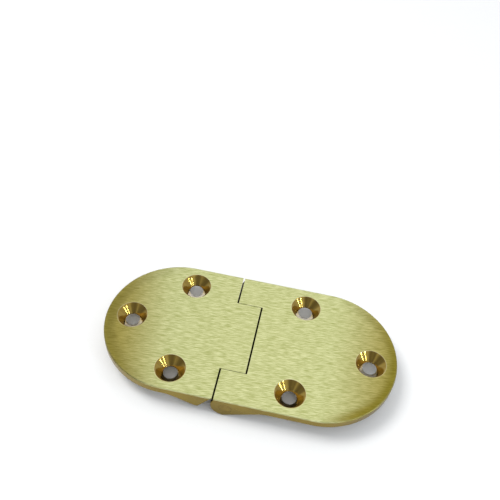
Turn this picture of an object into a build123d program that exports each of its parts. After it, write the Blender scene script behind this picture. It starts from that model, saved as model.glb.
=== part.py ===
from build123d import *
from math import atan, degrees, radians, sqrt, tan
import os

# Flush hinge for the folding side of a butler's tray: two cast brass leaves with round ends, and one pin.
# It is drawn open and flat, in millimetres. The top faces lie at z = 0 and the pin's axis lies straight
# under the origin, along Y. The leaf with two fingers runs to +X and the leaf with one tongue to -X.

# Plan
WIDTH = 38.1  # across both leaves, along the pin
FINGER_REACH = 40.2  # from the pin's axis to the round end of the leaf with the fingers
TONGUE_REACH = 36.0  # from the pin's axis to the round end of the leaf with the tongue
TONGUE_WIDTH = 20.5  # the middle knuckle, along the pin
SIDE_GAP = 0.12  # beside the tongue, on each side
SEAM = 0.45  # from the tip of a knuckle to the leaf that it points at

# Side view
PLATE = 2.4  # thickness of both leaves
AXIS_DEPTH = 3.2  # of the pin, under the top faces
KNUCKLE_RADIUS = 3.8  # about the pin's axis
TIP_BULGE = 0.75  # how far the round of a knuckle stands out past its flat tip
RELIEF_LEAN = 9  # degrees that the face under a seam is steeper than square to the seam edge's swing
FINGER_RAMP_ANGLE = 25  # degrees, from the fingers up to the plate
FINGER_RAMP_SETBACK = 0.5  # from the pin's axis back to the foot of that ramp
TONGUE_RAMP_ANGLE = 22  # degrees, from the tongue up to the plate
TONGUE_FLAT = 3.0  # from the pin's axis out to the foot of that ramp
LOW_ROUND = 1.0  # on the low corners under the leaves
RAMP_BLEND = 6.0  # where a ramp runs out into the plate
EDGE_ROUND = 0.3  # on the outer edges of the top faces
UNDER_BREAK = 0.2  # on the outer edges underneath

# Pin
PIN_DIAMETER = 3.2
PIN_CLEARANCE = 0.05  # all round, in the tongue; the pin is driven tight into the fingers

# Screw holes, three in each leaf
HOLE_DIAMETER = 3.7
COUNTERSINK_DIAMETER = 7.8
COUNTERSINK_ANGLE = 90  # degrees
FINGER_HOLE_REACH = 14.8  # from the pin's axis to the inner pair
TONGUE_HOLE_REACH = 15.4
HOLE_SPACING = 26.2  # between the two of an inner pair
END_HOLE_MARGIN = 6.7  # from the end hole's centre to the round end

# Worked out from the sizes above
knuckle_bottom = -AXIS_DEPTH - KNUCKLE_RADIUS
tip_reach = KNUCKLE_RADIUS - TIP_BULGE
tip_foot = -AXIS_DEPTH + sqrt(KNUCKLE_RADIUS**2 - tip_reach**2)
seam_reach = tip_reach + SEAM
slot_width = TONGUE_WIDTH + 2 * SIDE_GAP
relief_slope = degrees(atan(seam_reach / AXIS_DEPTH)) + RELIEF_LEAN
relief_foot = seam_reach - knuckle_bottom / tan(radians(relief_slope))
finger_ramp_foot = -AXIS_DEPTH - sqrt(KNUCKLE_RADIUS**2 - FINGER_RAMP_SETBACK**2)
finger_ramp_end = (-PLATE - finger_ramp_foot) / tan(radians(FINGER_RAMP_ANGLE)) - FINGER_RAMP_SETBACK
tongue_ramp_end = (-PLATE - knuckle_bottom) / tan(radians(TONGUE_RAMP_ANGLE)) + TONGUE_FLAT

# Each leaf is drawn outwards from the pin: its side view stands on one plane, its plan lies on the other
FINGER_SIDE = Plane.XZ
FINGER_TOP = Plane.XY
TONGUE_SIDE = Plane(origin=(0, 0, 0), x_dir=(-1, 0, 0), z_dir=(0, 1, 0))
TONGUE_TOP = Plane(origin=(0, 0, 0), x_dir=(-1, 0, 0), z_dir=(0, 0, 1))
PIN_END = Plane(origin=(0, -WIDTH / 2, -AXIS_DEPTH), x_dir=(1, 0, 0), z_dir=(0, -1, 0))


def soften(sketch, corner, radius):
    """Round the one corner of a side view that lies at the given point."""
    fillet(sketch.vertices().sort_by_distance((*corner, 0))[0], radius)


def cut_back(side):
    """Side view of a leaf where the other leaf's knuckle swings: cut back along a slope under the seam."""
    with BuildSketch() as root:
        add(side)
        with BuildLine():
            Polyline(
                (seam_reach, 0),
                (relief_foot, knuckle_bottom),
                (-KNUCKLE_RADIUS, knuckle_bottom),
                (-KNUCKLE_RADIUS, 0),
                close=True,
            )
        make_face(mode=Mode.SUBTRACT)
        fillet(root.vertices().sort_by(Axis.Y)[0], LOW_ROUND)
    return root.sketch


def outer_edges(leaf):
    """The edges round the outside of a leaf, above and below, without its seams, tips and holes."""
    long_sides = leaf.faces().filter_by(Axis.Y).group_by(Axis.Y)
    round_end = leaf.faces().filter_by(GeomType.CYLINDER).sort_by(SortBy.RADIUS)[-1]
    edges = long_sides[0][0].outer_wire().edges() + long_sides[-1][0].outer_wire().edges() + round_end.edges()
    return edges.filter_by(Axis.Z, reverse=True)


def ease_outside(leaf):
    """Break the edges round the underside of a leaf, and round those of its top face."""
    chamfer(outer_edges(leaf).filter_by(lambda edge: edge.center().Z < -EDGE_ROUND), UNDER_BREAK)
    fillet(outer_edges(leaf).group_by(Axis.Z)[-1], EDGE_ROUND)


# Side view through a finger: flat tip, round knuckle, and a ramp that leaves the knuckle near its bottom
with BuildSketch() as finger_side:
    with BuildLine():
        finger_tip = Line((-tip_reach, 0), (-tip_reach, tip_foot))
        finger_round = ThreePointArc(
            finger_tip @ 1, (-KNUCKLE_RADIUS, -AXIS_DEPTH), (-FINGER_RAMP_SETBACK, finger_ramp_foot)
        )
        Polyline(
            finger_round @ 1,
            (finger_ramp_end, -PLATE),
            (FINGER_REACH, -PLATE),
            (FINGER_REACH, 0),
            finger_tip @ 0,
        )
    make_face()
    soften(finger_side, (-FINGER_RAMP_SETBACK, finger_ramp_foot), LOW_ROUND)
    soften(finger_side, (finger_ramp_end, -PLATE), RAMP_BLEND)

# Side view through the tongue: the same tip and knuckle, a flat under the knuckle, and then its ramp
with BuildSketch() as tongue_side:
    with BuildLine():
        tongue_tip = Line((-tip_reach, 0), (-tip_reach, tip_foot))
        tongue_round = ThreePointArc(tongue_tip @ 1, (-KNUCKLE_RADIUS, -AXIS_DEPTH), (0, knuckle_bottom))
        Polyline(
            tongue_round @ 1,
            (TONGUE_FLAT, knuckle_bottom),
            (tongue_ramp_end, -PLATE),
            (TONGUE_REACH, -PLATE),
            (TONGUE_REACH, 0),
            tongue_tip @ 0,
        )
    make_face()
    soften(tongue_side, (TONGUE_FLAT, knuckle_bottom), LOW_ROUND)
    soften(tongue_side, (tongue_ramp_end, -PLATE), RAMP_BLEND)

# Leaf with two outer fingers, cast in one piece with them, and milled out between them for the tongue
with BuildPart(FINGER_TOP) as finger_leaf:
    with BuildSketch(FINGER_SIDE.offset(slot_width / 2)):
        add(finger_side.sketch)
    extrude(amount=(WIDTH - slot_width) / 2)
    mirror(about=FINGER_SIDE)
    with BuildSketch(FINGER_SIDE):
        add(cut_back(finger_side.sketch))
    extrude(amount=slot_width / 2, both=True)
    with BuildSketch(FINGER_TOP):
        SlotOverall(2 * FINGER_REACH, WIDTH)
    extrude(amount=knuckle_bottom, mode=Mode.INTERSECT)
    ease_outside(finger_leaf)
    with Locations(
        (FINGER_HOLE_REACH, HOLE_SPACING / 2),
        (FINGER_HOLE_REACH, -HOLE_SPACING / 2),
        (FINGER_REACH - END_HOLE_MARGIN, 0),
    ):
        CounterSinkHole(HOLE_DIAMETER / 2, COUNTERSINK_DIAMETER / 2, counter_sink_angle=COUNTERSINK_ANGLE)
    with Locations(PIN_END):
        Hole(PIN_DIAMETER / 2)

# Leaf with the one wide tongue in the middle, milled out on both sides of it for the fingers
with BuildPart(TONGUE_TOP) as tongue_leaf:
    with BuildSketch(TONGUE_SIDE.offset(TONGUE_WIDTH / 2)):
        add(cut_back(tongue_side.sketch))
    extrude(amount=(WIDTH - TONGUE_WIDTH) / 2)
    mirror(about=TONGUE_SIDE)
    with BuildSketch(TONGUE_SIDE):
        add(tongue_side.sketch)
    extrude(amount=TONGUE_WIDTH / 2, both=True)
    with BuildSketch(TONGUE_TOP):
        SlotOverall(2 * TONGUE_REACH, WIDTH)
    extrude(amount=knuckle_bottom, mode=Mode.INTERSECT)
    ease_outside(tongue_leaf)
    with Locations(
        (TONGUE_HOLE_REACH, HOLE_SPACING / 2),
        (TONGUE_HOLE_REACH, -HOLE_SPACING / 2),
        (TONGUE_REACH - END_HOLE_MARGIN, 0),
    ):
        CounterSinkHole(HOLE_DIAMETER / 2, COUNTERSINK_DIAMETER / 2, counter_sink_angle=COUNTERSINK_ANGLE)
    with Locations(PIN_END):
        Hole(PIN_DIAMETER / 2 + PIN_CLEARANCE)

# Pin through both fingers and the tongue, dressed flush with the sides of the fingers
with BuildPart() as hinge_pin:
    with BuildSketch(PIN_END):
        Circle(PIN_DIAMETER / 2)
    extrude(amount=-WIDTH)

finger_leaf.part.label = "finger_leaf"
tongue_leaf.part.label = "tongue_leaf"
hinge_pin.part.label = "hinge_pin"

os.makedirs("parts", exist_ok=True)
export_step(finger_leaf.part, "parts/finger_leaf.step")
export_step(tongue_leaf.part, "parts/tongue_leaf.step")
export_step(hinge_pin.part, "parts/hinge_pin.step")
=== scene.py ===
from math import pi, radians

import bpy
from mathutils import Matrix, Vector


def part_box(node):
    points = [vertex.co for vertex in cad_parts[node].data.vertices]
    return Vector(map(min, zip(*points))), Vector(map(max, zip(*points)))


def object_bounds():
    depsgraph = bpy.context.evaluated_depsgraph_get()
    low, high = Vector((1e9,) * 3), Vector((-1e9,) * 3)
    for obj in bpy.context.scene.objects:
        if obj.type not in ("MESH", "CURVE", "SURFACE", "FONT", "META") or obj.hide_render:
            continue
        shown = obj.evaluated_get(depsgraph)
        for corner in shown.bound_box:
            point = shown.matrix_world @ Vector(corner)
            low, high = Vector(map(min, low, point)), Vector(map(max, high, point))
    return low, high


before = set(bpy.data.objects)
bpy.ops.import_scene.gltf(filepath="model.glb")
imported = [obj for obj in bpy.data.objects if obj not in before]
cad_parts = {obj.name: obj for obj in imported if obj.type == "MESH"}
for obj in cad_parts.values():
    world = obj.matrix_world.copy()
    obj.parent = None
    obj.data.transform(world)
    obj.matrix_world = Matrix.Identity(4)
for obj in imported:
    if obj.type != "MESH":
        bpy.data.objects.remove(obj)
cad_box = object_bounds()


# Tongue leaf: a cast brass plate with one wide tongue, milled away beside it and countersunk for three
# screws. Its face is linished lengthwise on a belt, which leaves short fine strokes, and its outline is
# polished by hand.

LEAF_HALF_WIDTH = 0.01905
TONGUE_END_CENTRE = -0.01695  # along X, the centre of the circle of the round end
TONGUE_HOLES = ((-0.0154, 0.0131), (-0.0154, -0.0131), (-0.0293, 0.0))
TONGUE_END_SHADE = (0.000, 0.017)  # out from that centre, where the painted shade on the face starts and where it is full
TONGUE_END_SHADE_LEAN = 0.2  # slope across the leaf by which that change lies askew
TONGUE_RIM_SHADE = 0.45  # share of painted shade along the front of the round end's rim


def add(tree, kind, feeds=None, **settings):
    """Add a shader node: feeds pairs its inputs with plain values or with other nodes' outputs."""
    node = tree.nodes.new("ShaderNode" + kind)
    for name, value in settings.items():
        setattr(node, name, value)
    for key, value in (feeds or {}).items():
        if isinstance(value, bpy.types.NodeSocket):
            tree.links.new(value, node.inputs[key])
        else:
            node.inputs[key].default_value = value
    return node


def step(tree, operation, *terms):
    """One step of arithmetic in a finish; gives its result."""
    return add(tree, "Math", dict(enumerate(terms)), operation=operation).outputs[0]


def ramp(tree, value, start, end, low=0.0, high=1.0):
    """A smooth rise of a value: low up to start, high from end on."""
    feeds = {"Value": value, "From Min": start, "From Max": end, "To Min": low, "To Max": high}
    return add(tree, "MapRange", feeds, interpolation_type="SMOOTHSTEP").outputs[0]


def between(tree, share, first, second):
    """Value that goes from first to second as the share goes from 0 to 1."""
    return add(tree, "Mix", {0: share, 2: first, 3: second}).outputs[0]


def tint(tree, share, first, second):
    """Colour that goes from first to second as the share goes from 0 to 1."""
    return add(tree, "Mix", {0: share, 6: first, 7: second}, data_type="RGBA").outputs[2]


def noise(tree, place, waves, detail=2.0):
    """Noise over the metal, with its own number of waves per metre along X, Y and Z."""
    point = add(tree, "VectorMath", {0: place, 1: waves}, operation="MULTIPLY").outputs[0]
    feeds = {"Vector": point, "Scale": 1.0, "Detail": detail, "Roughness": 0.55}
    return add(tree, "TexNoise", feeds).outputs[0]


def effect(name, takes, gives):
    """Start a node group for one effect of the brass, from the kinds of its inputs and its outputs' names."""
    tree = bpy.data.node_groups.new(name, "ShaderNodeTree")
    for word, kind in takes.items():
        tree.interface.new_socket(name=word, in_out="INPUT", socket_type="NodeSocket" + kind)
    for word in gives:
        tree.interface.new_socket(name=word, in_out="OUTPUT", socket_type="NodeSocketFloat")
    return tree, tree.nodes.new("NodeGroupInput").outputs, tree.nodes.new("NodeGroupOutput").inputs


def use(tree, group, **feeds):
    """Place an effect in a material; the words in its sockets' names are joined by underscores here."""
    node = tree.nodes.new("ShaderNodeGroup")
    node.node_tree = group
    for name, value in feeds.items():
        socket = node.inputs[name.replace("_", " ")]
        if isinstance(value, bpy.types.NodeSocket):
            tree.links.new(value, socket)
        else:
            socket.default_value = value
    return node.outputs


STROKE_LENGTH = 0.0024
STROKE_WIDTH = 0.00011
STROKE_HEIGHT = 0.0000050
STROKE_LAYERS = (  # turn about Z, place in the noise, size beside the other layers, detail
    (-0.06, 0.0, 1.0, 2.0),
    (-0.13, 7.3, 0.65, 2.0),
    (-0.09, 19.1, 1.3, 1.0),
)
STROKE_TONES = (1.19, 1.81)  # sums of the three layers where the tone is darkest and where it is palest


def linishing_strokes():
    """Short strokes along X: layers of noise, each drawn out along its own slightly turned direction."""
    takes = {"Place": "Vector", "Length": "Float", "Width": "Float"}
    tree, given, result = effect("linishing_strokes", takes, ("Tone", "Height"))
    total = 0.0
    for slant, shift, share, detail in STROKE_LAYERS:
        feeds = {"Vector": given["Place"], "Angle": slant}
        turned = add(tree, "VectorRotate", feeds, rotation_type="Z_AXIS")
        x, y, _ = add(tree, "SeparateXYZ", {0: turned.outputs[0]}).outputs
        along = step(tree, "DIVIDE", x, step(tree, "MULTIPLY", given["Length"], share))
        across = step(tree, "DIVIDE", y, step(tree, "MULTIPLY", given["Width"], share))
        point = add(tree, "CombineXYZ", {0: along, 1: across, 2: shift}).outputs[0]
        feeds = {"Vector": point, "Scale": 1.0, "Detail": detail, "Roughness": 0.6}
        total = step(tree, "ADD", total, add(tree, "TexNoise", feeds).outputs[0])
    tree.links.new(ramp(tree, total, *STROKE_TONES), result["Tone"])
    tree.links.new(total, result["Height"])
    return tree


COUNTERSINK_RIM = 0.00392  # radius
CUT_START = (-0.00003, 0.00002)  # in from the rim, where the cut takes over from the face
CUT_FOOT = (-0.00238, -0.00233)  # level where the bore meets the underside
RING_PITCH = 0.00010
RING_HEIGHT = 0.00000015
RING_WANDER = 2.0  # radians by which chatter throws the rings off
CHATTER_WAVES = 3.0
CHATTER_SPREAD = (0.36, 0.62)
RIM_HIGHLIGHT = (0.00014, 0.00003)  # from the rim, where its painted highlight ends and where it is full
BORE_SHADE_LEVEL = (-0.0012, -0.0020)  # level where the painted shade in the cut starts and where it is full


def countersink_turning():
    """One countersunk hole: mask of its cut, the drill's rings as height, its chatter, the mask of a painted
    highlight along its rim, and its depth for painted shade towards the bore.
    """
    takes = {"Place": "Vector", "Centre": "Vector", "Rim": "Float"}
    gives = ("Cut", "Rings", "Chatter", "Rim Highlight", "Depth")
    tree, given, result = effect("countersink_turning", takes, gives)
    feeds = {0: given["Place"], 1: given["Centre"]}
    away = add(tree, "VectorMath", feeds, operation="SUBTRACT").outputs[0]
    x, y, z = add(tree, "SeparateXYZ", {0: away}).outputs
    flat = add(tree, "CombineXYZ", {0: x, 1: y}).outputs[0]
    reach = add(tree, "VectorMath", {0: flat}, operation="LENGTH").outputs["Value"]
    inside = step(tree, "SUBTRACT", given["Rim"], reach)
    cut = step(tree, "MULTIPLY", ramp(tree, inside, *CUT_START), ramp(tree, z, *CUT_FOOT))
    turn = add(tree, "VectorMath", {0: flat}, operation="NORMALIZE").outputs[0]
    feeds = {"Vector": turn, "Scale": CHATTER_WAVES, "Detail": 3.0}
    chatter = add(tree, "TexNoise", feeds).outputs[0]
    wander = step(tree, "MULTIPLY", chatter, RING_WANDER)
    wave = step(tree, "MULTIPLY_ADD", reach, 2 * pi / RING_PITCH, wander)
    tree.links.new(cut, result["Cut"])
    tree.links.new(step(tree, "SINE", wave), result["Rings"])
    tree.links.new(ramp(tree, chatter, *CHATTER_SPREAD), result["Chatter"])
    tree.links.new(ramp(tree, step(tree, "ABSOLUTE", inside), *RIM_HIGHLIGHT), result["Rim Highlight"])
    tree.links.new(ramp(tree, z, *BORE_SHADE_LEVEL), result["Depth"])
    return tree


def leaf_outline():
    """How far a point lies in from a leaf's rounded outline, and how far out past its end circle's centre."""
    takes = {"Place": "Vector", "End Centre": "Float", "Half Width": "Float"}
    tree, given, result = effect("leaf_outline", takes, ("Inset", "Outward"))
    x, y, _ = add(tree, "SeparateXYZ", {0: given["Place"]}).outputs
    side = step(tree, "SIGN", given["End Centre"])
    outward = step(tree, "MULTIPLY", step(tree, "SUBTRACT", x, given["End Centre"]), side)
    beyond = add(tree, "CombineXYZ", {0: step(tree, "MAXIMUM", outward, 0.0), 1: y}).outputs[0]
    reach = add(tree, "VectorMath", {0: beyond}, operation="LENGTH").outputs["Value"]
    tree.links.new(step(tree, "SUBTRACT", given["Half Width"], reach), result["Inset"])
    tree.links.new(outward, result["Outward"])
    return tree


DRIFT_SPREAD = (0.32, 0.68)
GRAIN_WAVES = (3600.0, 3600.0, 3600.0)
SCRATCH_TURN = 0.5  # radians
SCRATCH_WAVES = (90.0, 2600.0, 1200.0)
SCRATCH_SPREAD = (0.66, 0.74)  # only the crests of the noise are scratches


def handled_brass():
    """Slow drift of tone from handling, the fine grain of cast metal, and stray scratches."""
    takes = {"Place": "Vector", "Patch": "Float"}
    tree, given, result = effect("handled_brass", takes, ("Drift", "Grain", "Scratches"))
    patches = step(tree, "DIVIDE", 1.0, given["Patch"])
    feeds = {"Vector": given["Place"], "Scale": patches, "Detail": 3.0}
    drift = add(tree, "TexNoise", feeds).outputs[0]
    tree.links.new(ramp(tree, drift, *DRIFT_SPREAD), result["Drift"])
    tree.links.new(noise(tree, given["Place"], GRAIN_WAVES), result["Grain"])
    feeds = {"Vector": given["Place"], "Angle": SCRATCH_TURN}
    turned = add(tree, "VectorRotate", feeds, rotation_type="Z_AXIS").outputs[0]
    stray = noise(tree, turned, SCRATCH_WAVES, detail=1.0)
    tree.links.new(ramp(tree, stray, *SCRATCH_SPREAD), result["Scratches"])
    return tree


strokes_effect = linishing_strokes()
countersink_effect = countersink_turning()
outline_effect = leaf_outline()
handling_effect = handled_brass()

# The brass's colours, the darker tone and the paler one
PALE_FACE = ((0.42, 0.455, 0.155, 1), (0.76, 0.78, 0.425, 1))
# Painted shade: the face darker and browner towards the round end
PAINTED_SHADE_AT_END = ((0.27, 0.225, 0.045, 1), (0.47, 0.40, 0.11, 1))
# Painted shade: a darker band along the round end's rim
PAINTED_SHADE_AT_RIM = ((0.20, 0.165, 0.018, 1), (0.30, 0.255, 0.040, 1))
# Painted shade: the outline, knuckles and underside written darker than the face
SHADED_SIDE_BRASS = ((0.212, 0.147, 0.0150, 1), (0.272, 0.194, 0.0240, 1))
TURNED_CUT = ((0.35, 0.22, 0.018, 1), (0.46, 0.31, 0.034, 1))
# Painted shade in the countersinks towards the bore
CUT_SHADE_AT_BORE = (0.22, 0.135, 0.020, 1)
# Painted shade inside the joint between the leaves
SEAM_PAINTED_SHADE = (0.050, 0.034, 0.007, 1)
# Painted highlight, partly rubbed wear, on the edges and the rims of the holes
EDGE_HIGHLIGHT_AND_WEAR = (0.86, 0.80, 0.50, 1)

# Where they lie: inset is in from the outline, outward is out past the end circle's centre
FACE_LEVEL = (-0.00030, -0.00018)
# Painted shade along the round end's rim
RIM_INSET = (0.0052, 0.0004)
RIM_OUTWARD = (0.001, 0.012)
RIM_BACK_TO_FRONT = (0.016, 0.0)  # along Y
RIM_BACK_SHARE = 0.35
DEEP_INSET = (0.0036, 0.0008)
# Painted shade inside the joint between the leaves
BURIED_INSET = (0.0001, 0.0004)
BURIED_LEVEL = (-0.00002, -0.00014)
JOINT_REACH = (0.0062, 0.0040)  # from the pin's axis
JOINT_FOOT = (-0.0062, -0.0045)  # below this level the painted shade in the joint stops
SEAM_SHADE_SHARE = 0.86
# Painted shade towards the bore
BORE_SHARE = 0.35
# Painted highlight along the top edge and the rims of the holes
EDGE_INSET = (0.00036, 0.00022)
EDGE_LEVEL = (-0.00034, -0.00018)
EDGE_SHARE = 0.12
RIM_HIGHLIGHT_SHARE = 0.35

# How smooth it is, and how far the belt dubs the face off towards the round end
LEAF_PATCH = 0.010
SIDE_ROUGHNESS = (0.25, 0.07)  # at the least, and what handling adds
SEAM_ROUGHNESS = 0.35
FACE_ROUGHNESS = (0.36, -0.08)  # at the strokes' dark end, and what their pale end adds
CUT_ROUGHNESS = 0.125
LACQUER_ROUGHNESS = 0.10
DUB_INSET = (0.0, 0.0036)
DUB_OUTWARD = (0.0, 0.010)
DUB_DROP = -0.00017
SCRATCH_HEIGHT = -0.0000006
GRAIN_HEIGHTS = (0.0000035, 0.0000003)  # on cast metal, and in the turned cut


def leaf_brass(name, end_centre, holes, end_shade, lean, rim_shade):
    """Finish of one leaf: linished face with painted shade towards its round end, turned countersinks with
    painted shade towards the bore, a polished outline darkened with painted shade, and painted highlights on
    its edges.
    """
    material = bpy.data.materials.new(name)
    material.use_nodes = True
    tree = material.node_tree
    brass = tree.nodes["Principled BSDF"]
    brass.inputs["Metallic"].default_value = 1.0
    place = add(tree, "TexCoord").outputs["Object"]
    x, y, z = add(tree, "SeparateXYZ", {0: place}).outputs

    outline = use(tree, outline_effect, Place=place, End_Centre=end_centre, Half_Width=LEAF_HALF_WIDTH)
    inset, outward = outline["Inset"], outline["Outward"]
    strokes = use(tree, strokes_effect, Place=place, Length=STROKE_LENGTH, Width=STROKE_WIDTH)
    handled = use(tree, handling_effect, Place=place, Patch=LEAF_PATCH)

    cut = rings = chatter = rim_highlight = 0.0
    for centre in holes:
        hole = use(tree, countersink_effect, Place=place, Centre=(*centre, 0.0), Rim=COUNTERSINK_RIM)
        cut = step(tree, "MAXIMUM", cut, hole["Cut"])
        rings = step(tree, "MULTIPLY_ADD", hole["Rings"], hole["Cut"], rings)
        chatter = step(tree, "MULTIPLY_ADD", hole["Chatter"], hole["Cut"], chatter)
        rim_highlight = step(tree, "MAXIMUM", rim_highlight, hole["Rim Highlight"])
    depth = hole["Depth"]  # the same for every hole
    top = ramp(tree, z, *FACE_LEVEL)
    face = step(tree, "MULTIPLY", top, step(tree, "SUBTRACT", 1.0, cut))

    # Linished face: pale where it is bright and flat, darker and browner with painted shade where it runs out
    # to the round end and along its rim
    end_shade_mask = ramp(tree, step(tree, "MULTIPLY_ADD", y, -lean, outward), *end_shade)
    rim_shade_mask = step(tree, "MULTIPLY", ramp(tree, inset, *RIM_INSET), ramp(tree, outward, *RIM_OUTWARD))
    rim_share = ramp(tree, y, *RIM_BACK_TO_FRONT, RIM_BACK_SHARE * rim_shade, rim_shade)
    rim_shade_mask = step(tree, "MULTIPLY", rim_shade_mask, rim_share)
    shade_mask = step(tree, "MAXIMUM", end_shade_mask, rim_shade_mask)
    pale = tint(tree, strokes["Tone"], *PALE_FACE)
    shaded_end = tint(tree, strokes["Tone"], *PAINTED_SHADE_AT_END)
    colour = tint(tree, shade_mask, pale, shaded_end)
    shaded_rim = tint(tree, strokes["Tone"], *PAINTED_SHADE_AT_RIM)
    colour = tint(tree, step(tree, "MULTIPLY", ramp(tree, inset, *DEEP_INSET), rim_shade_mask), colour, shaded_rim)

    # Outline, knuckles and underside: yellow brass darkened with painted shade, darker still with painted
    # shade inside the joint
    plain = tint(tree, handled["Drift"], *SHADED_SIDE_BRASS)
    buried = step(tree, "MULTIPLY", ramp(tree, inset, *BURIED_INSET), ramp(tree, z, *BURIED_LEVEL))
    near_joint = ramp(tree, step(tree, "ABSOLUTE", x), *JOINT_REACH)
    seam_shade = step(tree, "MULTIPLY", buried, near_joint)
    seam_shade = step(tree, "MULTIPLY", seam_shade, ramp(tree, z, *JOINT_FOOT))
    colour = tint(tree, top, plain, colour)
    colour = tint(tree, step(tree, "MULTIPLY", seam_shade, SEAM_SHADE_SHARE), colour, SEAM_PAINTED_SHADE)

    # Countersinks: bare turned metal, darkened with painted shade towards the bore
    turned = tint(tree, chatter, *TURNED_CUT)
    turned = tint(tree, step(tree, "MULTIPLY", depth, BORE_SHARE), turned, CUT_SHADE_AT_BORE)
    colour = tint(tree, cut, colour, turned)

    # Rubbed edges with a painted highlight: a bright line painted on the rounding of the top edge and on the
    # rims of the holes
    edge = step(tree, "MULTIPLY", ramp(tree, inset, *EDGE_INSET), ramp(tree, z, *EDGE_LEVEL))
    edge = step(tree, "MULTIPLY", edge, EDGE_SHARE)
    rim = step(tree, "MULTIPLY", step(tree, "MULTIPLY", rim_highlight, RIM_HIGHLIGHT_SHARE), top)
    colour = tint(tree, step(tree, "MAXIMUM", edge, rim), colour, EDGE_HIGHLIGHT_AND_WEAR)
    tree.links.new(colour, brass.inputs["Base Color"])

    # Gloss: satin on the face, brighter on the sides, rougher inside the joint, lacquer over the cuts
    gloss = step(tree, "MULTIPLY_ADD", handled["Drift"], SIDE_ROUGHNESS[1], SIDE_ROUGHNESS[0])
    gloss = step(tree, "MULTIPLY_ADD", seam_shade, SEAM_ROUGHNESS, gloss)
    satin = step(tree, "MULTIPLY_ADD", strokes["Tone"], FACE_ROUGHNESS[1], FACE_ROUGHNESS[0])
    gloss = between(tree, face, gloss, satin)
    tree.links.new(between(tree, cut, gloss, CUT_ROUGHNESS), brass.inputs["Roughness"])
    brass.inputs["Coat Roughness"].default_value = LACQUER_ROUGHNESS
    tree.links.new(cut, brass.inputs["Coat Weight"])

    # Relief: strokes, a hair of dubbing and scratches on the face, grain elsewhere, rings in the cuts
    dubbed = ramp(tree, inset, *DUB_INSET, DUB_DROP, 0.0)
    dubbed = step(tree, "MULTIPLY", dubbed, ramp(tree, outward, *DUB_OUTWARD))
    relief = step(tree, "MULTIPLY_ADD", strokes["Height"], STROKE_HEIGHT, dubbed)
    relief = step(tree, "MULTIPLY_ADD", handled["Scratches"], SCRATCH_HEIGHT, relief)
    bare = step(tree, "MULTIPLY", handled["Grain"], ramp(tree, cut, 0.0, 1.0, *GRAIN_HEIGHTS))
    relief = between(tree, face, bare, relief)
    relief = step(tree, "MULTIPLY_ADD", rings, RING_HEIGHT, relief)
    bump = add(tree, "Bump", {"Strength": 1.0, "Distance": 1.0, "Height": relief})
    tree.links.new(bump.outputs[0], brass.inputs["Normal"])
    return material


LEAF_EDGE_BREAK = 0.00007


def break_edges(piece, width):
    """Take the sharpness off a machined piece's edges, so that they catch the light."""
    weld = piece.modifiers.new("joined_faces", "WELD")
    weld.merge_threshold = 0.000002
    bevel = piece.modifiers.new("broken_edges", "BEVEL")
    bevel.width = width
    bevel.segments = 2
    bevel.limit_method = "ANGLE"
    bevel.angle_limit = radians(38)
    normals = piece.modifiers.new("flat_faces", "WEIGHTED_NORMAL")
    normals.keep_sharp = True
    normals.weight = 100


tongue_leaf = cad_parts["tongue_leaf"]
tongue_leaf.material_slots[0].material = leaf_brass(
    "tongue_leaf_brass", TONGUE_END_CENTRE, TONGUE_HOLES, TONGUE_END_SHADE, TONGUE_END_SHADE_LEAN, TONGUE_RIM_SHADE
)
break_edges(tongue_leaf, LEAF_EDGE_BREAK)


# Finger leaf: a cast brass plate with two outer fingers, milled out between them for the tongue, with
# three countersunk holes. It is linished in one go with the tongue leaf, so the strokes run on across
# the seam.

FINGER_END_CENTRE = 0.02115
FINGER_HOLES = ((0.0148, 0.0131), (0.0148, -0.0131), (0.0335, 0.0))
FINGER_END_SHADE = (0.000, 0.0188)
FINGER_END_SHADE_LEAN = 0.0
FINGER_RIM_SHADE = 1.0

finger_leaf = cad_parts["finger_leaf"]
finger_leaf.material_slots[0].material = leaf_brass(
    "finger_leaf_brass", FINGER_END_CENTRE, FINGER_HOLES, FINGER_END_SHADE, FINGER_END_SHADE_LEAN, FINGER_RIM_SHADE
)
break_edges(finger_leaf, LEAF_EDGE_BREAK)


# Hinge pin: a drawn brass rod through both fingers and the tongue, driven tight and dressed flush with
# the leaf's long sides, so only its two round ends show, each with a hairline round it.

PIN_SHADED_BRASS = ((0.20, 0.134, 0.0140, 1), (0.255, 0.176, 0.0225, 1))  # its darker tone and its paler one, darkened with painted shade like the leaves' sides
PIN_HAIRLINE = (0.045, 0.028, 0.005, 1)
HAIRLINE_INSET = (0.00012, 0.00003)  # in from the pin's own edge
HAIRLINE_SHARE = 0.5
PIN_PATCH = 0.002
DRESSING_WAVES = (5200.0, 900.0, 700.0)
DRESSING_HEIGHT = 0.000004
PIN_ROUGHNESS = (0.22, 0.2)  # at the least, and what the dressing marks add
PIN_EDGE_BREAK = 0.00004


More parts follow.
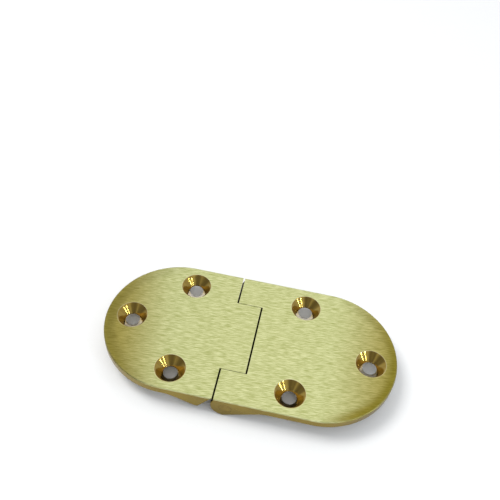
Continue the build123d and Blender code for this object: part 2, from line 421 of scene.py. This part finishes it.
def pin_brass():
    """Finish of the pin: brass darkened with painted shade, dressing marks across its ends and a dark
    hairline round them.
    """
    material = bpy.data.materials.new("pin_brass_drawn")
    material.use_nodes = True
    tree = material.node_tree
    brass = tree.nodes["Principled BSDF"]
    brass.inputs["Metallic"].default_value = 1.0
    place = add(tree, "TexCoord").outputs["Object"]
    low, high = (Vector(corner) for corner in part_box("hinge_pin"))
    away = add(tree, "VectorMath", {0: place, 1: (low + high) / 2}, operation="SUBTRACT").outputs[0]
    across = add(tree, "VectorMath", {0: away, 1: (1, 0, 1)}, operation="MULTIPLY").outputs[0]
    reach = add(tree, "VectorMath", {0: across}, operation="LENGTH").outputs["Value"]
    radius = (high.x - low.x) / 2
    hairline = ramp(tree, reach, radius - HAIRLINE_INSET[0], radius - HAIRLINE_INSET[1])
    handled = use(tree, handling_effect, Place=place, Patch=PIN_PATCH)
    marks = noise(tree, place, DRESSING_WAVES)
    metal = tint(tree, handled["Drift"], *PIN_SHADED_BRASS)
    metal = tint(tree, step(tree, "MULTIPLY", hairline, HAIRLINE_SHARE), metal, PIN_HAIRLINE)
    tree.links.new(metal, brass.inputs["Base Color"])
    gloss = step(tree, "MULTIPLY_ADD", marks, PIN_ROUGHNESS[1], PIN_ROUGHNESS[0])
    tree.links.new(gloss, brass.inputs["Roughness"])
    relief = step(tree, "MULTIPLY", marks, DRESSING_HEIGHT)
    bump = add(tree, "Bump", {"Strength": 1.0, "Distance": 1.0, "Height": relief})
    tree.links.new(bump.outputs[0], brass.inputs["Normal"])
    return material


hinge_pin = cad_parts["hinge_pin"]
hinge_pin.material_slots[0].material = pin_brass()
break_edges(hinge_pin, PIN_EDGE_BREAK)


# Table: one wide sheet of plain white paper with a faint tone of fibres, laid flat.
# The hinge rests on it with the rounds of its knuckles.

TABLE_REACH = 2.5
PAPER_TONES = ((0.76, 0.77, 0.78, 1), (0.78, 0.79, 0.80, 1))
FIBRE_WAVES = (900.0, 900.0, 900.0)

table_level = cad_box[0][2]
paper_mesh = bpy.data.meshes.new("table_paper")
corner_signs = ((-1, -1), (1, -1), (1, 1), (-1, 1))
paper_corners = [(a * TABLE_REACH, b * TABLE_REACH, table_level) for a, b in corner_signs]
paper_mesh.from_pydata(paper_corners, [], [(0, 1, 2, 3)])
paper = bpy.data.objects.new("table_paper", paper_mesh)
bpy.context.scene.collection.objects.link(paper)
paper_white = bpy.data.materials.new("paper_white")
paper_white.use_nodes = True
sheet = paper_white.node_tree
fibres = noise(sheet, add(sheet, "TexCoord").outputs["Object"], FIBRE_WAVES, detail=3.0)
white = sheet.nodes["Principled BSDF"]
sheet.links.new(tint(sheet, fibres, *PAPER_TONES), white.inputs["Base Color"])
white.inputs["Roughness"].default_value = 0.85
white.inputs["Specular IOR Level"].default_value = 0.1
paper_mesh.materials.append(paper_white)


# Light: a pale tent round the table, brighter behind the hinge and overhead, with the dark room showing
# through its open front. Two soft lamps, above left and in front, light the paper, and two narrow strip
# lamps glint in the countersinks.

TENT_WALL = (0.66, 0.68, 0.71, 1)
TENT_PATCHES = (  # towards the patch's middle, inner and outer angle in degrees, level
    ((0.0, -0.25, 0.97), 16, 34, (1.30, 1.28, 1.24, 1)),
    ((0.0, 0.52, 0.85), 12, 33, (1.10, 1.09, 1.06, 1)),
    ((0.0, -0.84, 0.54), 14, 32, (0.27, 0.27, 0.28, 1)),
    ((-0.85, -0.38, 0.37), 14, 40, (0.24, 0.24, 0.25, 1)),
    ((-0.52, 0.46, 0.72), 6, 20, (0.43, 0.42, 0.40, 1)),
)

tent = bpy.data.worlds.new("light_tent")
tent.use_nodes = True
bpy.context.scene.world = tent
sky = tent.node_tree
direction = add(sky, "TexCoord").outputs["Generated"]


def tent_wall(level, towards, inner, outer, patch_level):
    """Lay a round patch on the tent: its own level within the inner angle, none of it past the outer one."""
    middle = Vector(towards).normalized()
    facing = add(sky, "VectorMath", {0: direction, 1: middle}, operation="DOT_PRODUCT").outputs["Value"]
    angle = step(sky, "ARCCOSINE", facing)
    return tint(sky, ramp(sky, angle, radians(outer), radians(inner)), level, patch_level)


level = TENT_WALL
for patch in TENT_PATCHES:
    level = tent_wall(level, *patch)
sky.links.new(level, sky.nodes["Background"].inputs["Color"])

SOFT_WHITE = (1.0, 0.98, 0.95)
COOL_WHITE = (0.76, 0.87, 1.0)
STRIP_SIZE = (0.010, 0.24)
STRIP_RADIANCE = 48.0


def lamp(name, place, size, radiance, colour, seen_in_metal=True):
    """A flat lamp turned to the hinge; radiance is that of its face, so its size sets its power."""
    light = bpy.data.lights.new(name, "AREA")
    light.shape = "RECTANGLE"
    light.size, light.size_y = size
    light.energy = radiance * pi * size[0] * size[1]
    light.color = colour
    body = bpy.data.objects.new(name, light)
    body.location = place
    body.rotation_euler = (-Vector(place)).to_track_quat("-Z", "Y").to_euler()
    body.visible_glossy = seen_in_metal
    bpy.context.scene.collection.objects.link(body)


lamp("top_lamp", (-0.37, 0.05, 0.67), (0.33, 0.33), 10.5, SOFT_WHITE, seen_in_metal=False)
lamp("front_lamp", (0.05, -0.36, 0.60), (0.20, 0.20), 5.0, SOFT_WHITE, seen_in_metal=False)
lamp("side_strip_front", (0.442, -0.292, 0.282), STRIP_SIZE, STRIP_RADIANCE, COOL_WHITE)
lamp("side_strip_back", (0.543, -0.101, 0.234), STRIP_SIZE, STRIP_RADIANCE, COOL_WHITE)


# Camera: it looks down on the hinge from the front, near enough for perspective to show, and is turned so
# that the hinge slopes down to the right.

CAMERA_PLACE = (0.012648, -0.096643, 0.148751)
CAMERA_RIGHT = (0.977618, 0.201191, 0.061531)
CAMERA_UP = (-0.192595, 0.738088, 0.646632)
CAMERA_BACK = (0.084681, -0.644009, 0.760316)
FILM_WIDTH = 36.0  # millimetres, as is the focal length
FOCAL_LENGTH = 49.300

lens = bpy.data.cameras.new("camera")
lens.sensor_width = FILM_WIDTH
lens.lens = FOCAL_LENGTH
lens.clip_start = 0.005
lens.clip_end = 20.0
camera = bpy.data.objects.new("camera", lens)
axes = Matrix((CAMERA_RIGHT, CAMERA_UP, CAMERA_BACK)).transposed().to_4x4()
camera.matrix_world = Matrix.Translation(CAMERA_PLACE) @ axes
bpy.context.scene.collection.objects.link(camera)
bpy.context.scene.camera = camera
bpy.context.scene.view_settings.view_transform = "Standard"
